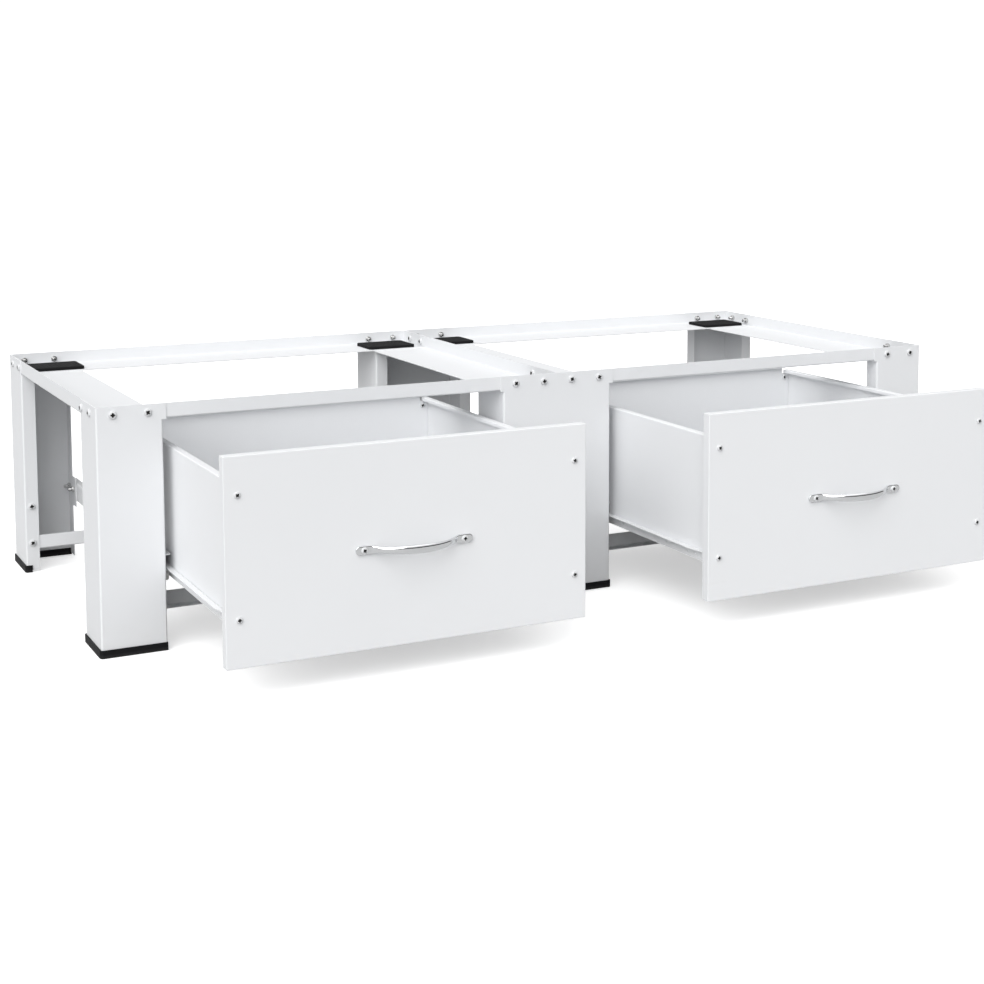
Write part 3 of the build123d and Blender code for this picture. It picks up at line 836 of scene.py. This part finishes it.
# %% Cloudy tone
tone_group, entry, leave = new_group("cloudy_tone", ["Color", "Scale", "Amount"], "Color", "Color")
place = add_node(tone_group, "ShaderNodeTexCoord")
noise = add_node(tone_group, "ShaderNodeTexNoise", Detail=4.0, Roughness=0.6)
darken = add_node(tone_group, "ShaderNodeMath", operation="MULTIPLY")
keep = add_node(tone_group, "ShaderNodeMath", operation="SUBTRACT")
keep.inputs[0].default_value = 1.0
blend = add_node(tone_group, "ShaderNodeVectorMath", operation="SCALE")
link_all(
    tone_group,
    (place.outputs["Object"], noise.inputs["Vector"]),
    (entry.outputs["Scale"], noise.inputs["Scale"]),
    (noise.outputs["Fac"], darken.inputs[0]),
    (entry.outputs["Amount"], darken.inputs[1]),
    (darken.outputs[0], keep.inputs[1]),
    (entry.outputs["Color"], blend.inputs[0]),
    (keep.outputs[0], blend.inputs["Scale"]),
    (blend.outputs[0], leave.inputs["Color"]),
)
print("group:", tone_group.name)

# %% [markdown]
# Hands and laundry rub the coat in streaks. Stretched noise is cut off at a height that the cover
# sets, so only its peaks become marks.

# %% Rub marks
rub_group, entry, leave = new_group("rub_marks", ["Scale", "Cover"], "Mask", "Float")
place = add_node(rub_group, "ShaderNodeTexCoord")
stretch = add_node(rub_group, "ShaderNodeMapping", Scale=(1.0, 1.0, 6.0), Rotation=(0.5, 0.3, 0.2))
noise = add_node(rub_group, "ShaderNodeTexNoise", Detail=6.0, Roughness=0.7)
limit = add_node(rub_group, "ShaderNodeMapRange", From_Max=0.8, To_Min=0.0, To_Max=1.0)
start = add_node(rub_group, "ShaderNodeMath", operation="SUBTRACT")
start.inputs[0].default_value = 1.0
link_all(
    rub_group,
    (place.outputs["Object"], stretch.inputs["Vector"]),
    (stretch.outputs["Vector"], noise.inputs["Vector"]),
    (entry.outputs["Scale"], noise.inputs["Scale"]),
    (entry.outputs["Cover"], start.inputs[1]),
    (noise.outputs["Fac"], limit.inputs["Value"]),
    (start.outputs[0], limit.inputs["From Min"]),
    (limit.outputs["Result"], leave.inputs["Mask"]),
)
print("group:", rub_group.name)

# %% [markdown]
# Dust gathers near the floor, on the feet and the lowest part of the legs. The mask fades with height
# and is broken up by noise.

# %% Low dust
dust_group, entry, leave = new_group("low_dust", ["Height", "Amount"], "Mask", "Float")
place = add_node(dust_group, "ShaderNodeTexCoord")
parts = add_node(dust_group, "ShaderNodeSeparateXYZ")
fall = add_node(dust_group, "ShaderNodeMapRange", From_Min=0.0, To_Min=1.0, To_Max=0.0)
noise = add_node(dust_group, "ShaderNodeTexNoise", Scale=45.0, Detail=5.0, Roughness=0.65)
mix = add_node(dust_group, "ShaderNodeMath", operation="MULTIPLY")
weigh = add_node(dust_group, "ShaderNodeMath", operation="MULTIPLY")
link_all(
    dust_group,
    (place.outputs["Object"], parts.inputs[0]),
    (place.outputs["Object"], noise.inputs["Vector"]),
    (parts.outputs["Z"], fall.inputs["Value"]),
    (entry.outputs["Height"], fall.inputs["From Max"]),
    (fall.outputs["Result"], mix.inputs[0]),
    (noise.outputs["Fac"], mix.inputs[1]),
    (mix.outputs[0], weigh.inputs[0]),
    (entry.outputs["Amount"], weigh.inputs[1]),
    (weigh.outputs[0], leave.inputs["Mask"]),
)
print("group:", dust_group.name)

# %% [markdown]
# ## Finishes
# One builder puts the effects together: the cloudy colour first, then the rubbed colour over it, then
# dust where a finish asks for it. Rubbed places are also rougher than the rest.

# %% Finish builder
finishes = {}


def finish(
    name, color, rough, cloud_scale, cloud_amount, grain_scale, grain_depth, rub_scale, rub_cover,
    rub_color, rub_rough, metal=0.0, specular=0.5, dust_color=None, dust_height=0.0, dust_amount=0.0,
):
    """Makes one finish and keeps it under its name."""
    material = bpy.data.materials.new(name)
    material.use_nodes = True
    tree = material.node_tree
    surface = tree.nodes["Principled BSDF"]
    surface.inputs["Metallic"].default_value = metal
    surface.inputs["Specular IOR Level"].default_value = specular
    cloud = use_group(tree, tone_group, Color=(*color, 1.0), Scale=cloud_scale, Amount=cloud_amount)
    grain = use_group(tree, grain_group, Scale=grain_scale, Depth=grain_depth)
    marks = use_group(tree, rub_group, Scale=rub_scale, Cover=rub_cover)
    shade = color_mix(tree, marks.outputs["Mask"], cloud.outputs["Color"], (*rub_color, 1.0))
    if dust_color:
        dust = use_group(tree, dust_group, Height=dust_height, Amount=dust_amount)
        shade = color_mix(tree, dust.outputs["Mask"], shade, (*dust_color, 1.0))
    gloss = add_node(tree, "ShaderNodeMapRange", To_Min=rough, To_Max=rough + rub_rough)
    link_all(
        tree,
        (marks.outputs["Mask"], gloss.inputs["Value"]),
        (gloss.outputs["Result"], surface.inputs["Roughness"]),
        (shade, surface.inputs["Base Color"]),
        (grain.outputs["Normal"], surface.inputs["Normal"]),
    )
    finishes[name] = material
    return material


# %% [markdown]
# The legs and rails have a fine powder coat, cool white and nearly matt. The drawers have a smoother
# one, and the runners a glossier enamel that the rollers have rubbed.

# %% Paints
PALE_DUST = (0.60, 0.59, 0.57)
finish(
    "frame_paint", color=(0.745, 0.755, 0.77), rough=0.55, specular=0.25,
    cloud_scale=5.0, cloud_amount=0.045, grain_scale=1400.0, grain_depth=0.05 * MM,
    rub_scale=14.0, rub_cover=0.36, rub_color=(0.71, 0.715, 0.72), rub_rough=0.14,
    dust_color=PALE_DUST, dust_height=0.06, dust_amount=0.30,
)
finish(
    "drawer_paint", color=(0.78, 0.79, 0.805), rough=0.48, specular=0.35,
    cloud_scale=3.0, cloud_amount=0.05, grain_scale=1800.0, grain_depth=0.03 * MM,
    rub_scale=9.0, rub_cover=0.34, rub_color=(0.74, 0.745, 0.75), rub_rough=0.12,
)
finish(
    "runner_paint", color=(0.77, 0.78, 0.79), rough=0.30, specular=0.4,
    cloud_scale=30.0, cloud_amount=0.08, grain_scale=1500.0, grain_depth=0.04 * MM,
    rub_scale=60.0, rub_cover=0.42, rub_color=(0.56, 0.56, 0.55), rub_rough=0.16,
)
finish(
    "head_paint", color=(0.66, 0.67, 0.68), rough=0.45, specular=0.3,
    cloud_scale=160.0, cloud_amount=0.10, grain_scale=1800.0, grain_depth=0.03 * MM,
    rub_scale=300.0, rub_cover=0.42, rub_color=(0.50, 0.50, 0.50), rub_rough=0.1,
)
print("paints:", list(finishes))

# %% [markdown]
# Paint wears first on a sheet's edges. Each painted or moulded finish that can chafe has a partner
# for the edges, a little darker and with more marks.

# %% Worn edges
finish(
    "frame_paint_edge", color=(0.72, 0.73, 0.745), rough=0.50, specular=0.3,
    cloud_scale=40.0, cloud_amount=0.10, grain_scale=1400.0, grain_depth=0.05 * MM,
    rub_scale=70.0, rub_cover=0.42, rub_color=(0.52, 0.52, 0.52), rub_rough=0.1,
)
finish(
    "drawer_paint_edge", color=(0.76, 0.77, 0.785), rough=0.44, specular=0.35,
    cloud_scale=40.0, cloud_amount=0.08, grain_scale=1800.0, grain_depth=0.03 * MM,
    rub_scale=70.0, rub_cover=0.40, rub_color=(0.58, 0.58, 0.58), rub_rough=0.1,
)
finish(
    "runner_paint_edge", color=(0.66, 0.66, 0.66), rough=0.34, specular=0.4,
    cloud_scale=60.0, cloud_amount=0.12, grain_scale=1500.0, grain_depth=0.04 * MM,
    rub_scale=90.0, rub_cover=0.48, rub_color=(0.42, 0.42, 0.41), rub_rough=0.1,
)
finish(
    "foot_plastic_edge", color=(0.014, 0.014, 0.015), rough=0.5, specular=0.2,
    cloud_scale=60.0, cloud_amount=0.20, grain_scale=1500.0, grain_depth=0.1 * MM,
    rub_scale=80.0, rub_cover=0.42, rub_color=(0.035, 0.035, 0.035), rub_rough=0.1,
)
print("finishes so far:", len(finishes))

# %% [markdown]
# Zinc plate is grey and a little blotchy. The handles are polished and mirror the room, and the pits
# of the screw heads are painted near black as shade.

# %% Metals
finish(
    "zinc_steel", color=(0.66, 0.66, 0.655), rough=0.20, metal=1.0,
    cloud_scale=160.0, cloud_amount=0.22, grain_scale=2600.0, grain_depth=0.03 * MM,
    rub_scale=300.0, rub_cover=0.42, rub_color=(0.50, 0.50, 0.49), rub_rough=0.2,
)
finish(
    "handle_chrome", color=(0.76, 0.77, 0.78), rough=0.06, metal=1.0,
    cloud_scale=20.0, cloud_amount=0.05, grain_scale=700.0, grain_depth=0.01 * MM,
    rub_scale=90.0, rub_cover=0.38, rub_color=(0.66, 0.67, 0.68), rub_rough=0.12,
)
# Painted shade: the pits of the screw heads are made near black, as they look in shade.
finish(
    "recess_grime", color=(0.035, 0.034, 0.033), rough=0.7, specular=0.2,
    cloud_scale=300.0, cloud_amount=0.30, grain_scale=2600.0, grain_depth=0.03 * MM,
    rub_scale=400.0, rub_cover=0.35, rub_color=(0.12, 0.12, 0.115), rub_rough=0.1,
)
print("finishes so far:", len(finishes))

# %% [markdown]
# The pads are matt rubber and the foot caps a slightly shinier moulding with dust along the floor.
# The rollers are natural nylon, off-white and waxy.

# %% Rubber and plastics
FOOT_DUST = (0.10, 0.098, 0.094)
finish(
    "pad_rubber", color=(0.010, 0.010, 0.011), rough=0.78, specular=0.12,
    cloud_scale=60.0, cloud_amount=0.30, grain_scale=1600.0, grain_depth=0.2 * MM,
    rub_scale=40.0, rub_cover=0.40, rub_color=(0.022, 0.022, 0.022), rub_rough=0.12,
)
finish(
    "foot_plastic", color=(0.007, 0.007, 0.008), rough=0.55, specular=0.14,
    cloud_scale=50.0, cloud_amount=0.25, grain_scale=1500.0, grain_depth=0.12 * MM,
    rub_scale=55.0, rub_cover=0.38, rub_color=(0.02, 0.02, 0.02), rub_rough=0.2,
    dust_color=FOOT_DUST, dust_height=0.005, dust_amount=0.4,
)
finish(
    "roller_plastic", color=(0.80, 0.80, 0.77), rough=0.42,
    cloud_scale=60.0, cloud_amount=0.12, grain_scale=1200.0, grain_depth=0.06 * MM,
    rub_scale=80.0, rub_cover=0.42, rub_color=(0.55, 0.54, 0.50), rub_rough=0.1,
)
print("finishes so far:", len(finishes))

# %% [markdown]
# The floor is seen as pale, close to white, and glows a little like a lit studio sweep, which keeps
# the shadows faint. For rays that bounce off it towards the pedestal it is darker, or the undersides
# would be as bright as the tops.

# %% Floor finish
FLOOR_BOUNCE = 0.40
FLOOR_MIRRORED = 0.55
FLOOR_GLOW = 0.45
floor_finish = finish(
    "floor_finish", color=(0.92, 0.92, 0.92), rough=0.7, specular=0.1,
    cloud_scale=0.6, cloud_amount=0.01, grain_scale=300.0, grain_depth=0.02 * MM,
    rub_scale=3.0, rub_cover=0.30, rub_color=(0.91, 0.91, 0.91), rub_rough=0.05,
)
tree = floor_finish.node_tree
surface = tree.nodes["Principled BSDF"]
ray = tree.nodes.new("ShaderNodeLightPath")
shade = surface.inputs["Base Color"].links[0].from_socket
shade = color_mix(tree, ray.outputs["Is Diffuse Ray"], shade, grey(FLOOR_BOUNCE))
shade = color_mix(tree, ray.outputs["Is Glossy Ray"], shade, grey(FLOOR_MIRRORED))
glow = color_mix(tree, ray.outputs["Is Camera Ray"], grey(0.0), grey(FLOOR_GLOW))
tree.links.new(shade, surface.inputs["Base Color"])
tree.links.new(glow, surface.inputs["Emission Color"])
surface.inputs["Emission Strength"].default_value = 1.0
floor.data.materials.append(floor_finish)
print("finishes:", len(finishes))

# %% [markdown]
# ## Soft edges
# A folded sheet has no knife edges: the coat rounds them, and that thin round catches the light. A
# bevel modifier does the same on the CAD nodes. Their faces come as many small triangles, so equal
# points are joined and flat fields merged first, or the bevel would draw lines across them.

# %% Edge modifiers
EDGE_WIDTH = 0.35 * MM
EDGE_STEPS = 2
JOIN_WITHIN = 0.002 * MM
FLAT_WITHIN = math.radians(0.5)
SHARP_FROM = math.radians(40.0)
EDGE_KIND = 1


def soften_edges(node):
    """Rounds the sharp edges of a folded sheet a little and gives them the second finish."""
    join = node.modifiers.new("join", "WELD")
    join.merge_threshold = JOIN_WITHIN
    merge = node.modifiers.new("merge", "DECIMATE")
    merge.decimate_type = "DISSOLVE"
    merge.angle_limit = FLAT_WITHIN
    soften = node.modifiers.new("soften", "BEVEL")
    soften.width = EDGE_WIDTH
    soften.segments = EDGE_STEPS
    soften.limit_method = "ANGLE"
    soften.angle_limit = SHARP_FROM
    soften.material = EDGE_KIND
    even = node.modifiers.new("even", "WEIGHTED_NORMAL")
    even.mode = "FACE_AREA"


# %% [markdown]
# ## Painting
# The record says which slot each CAD node has. Every node and every piece gets the finish of its
# slot, and the sheets and feet get soft, worn edges as well.

# %% Paint every piece
slot_of = {row["node"]: row["material_slot"] for row in frame["record"]["subparts"]}


def wear(piece, names):
    """Gives a piece its finishes, in the order of its faces' kinds."""
    for name in names:
        piece.data.materials.append(finishes[name])


for name, node in nodes.items():
    node.data.materials.clear()
    slot = slot_of[name]
    edge = slot + "_edge"
    if edge in finishes:
        wear(node, [slot, edge])
        soften_edges(node)
    else:
        wear(node, [slot])
for name, names in finish_names.items():
    wear(bpy.data.objects[name], names)
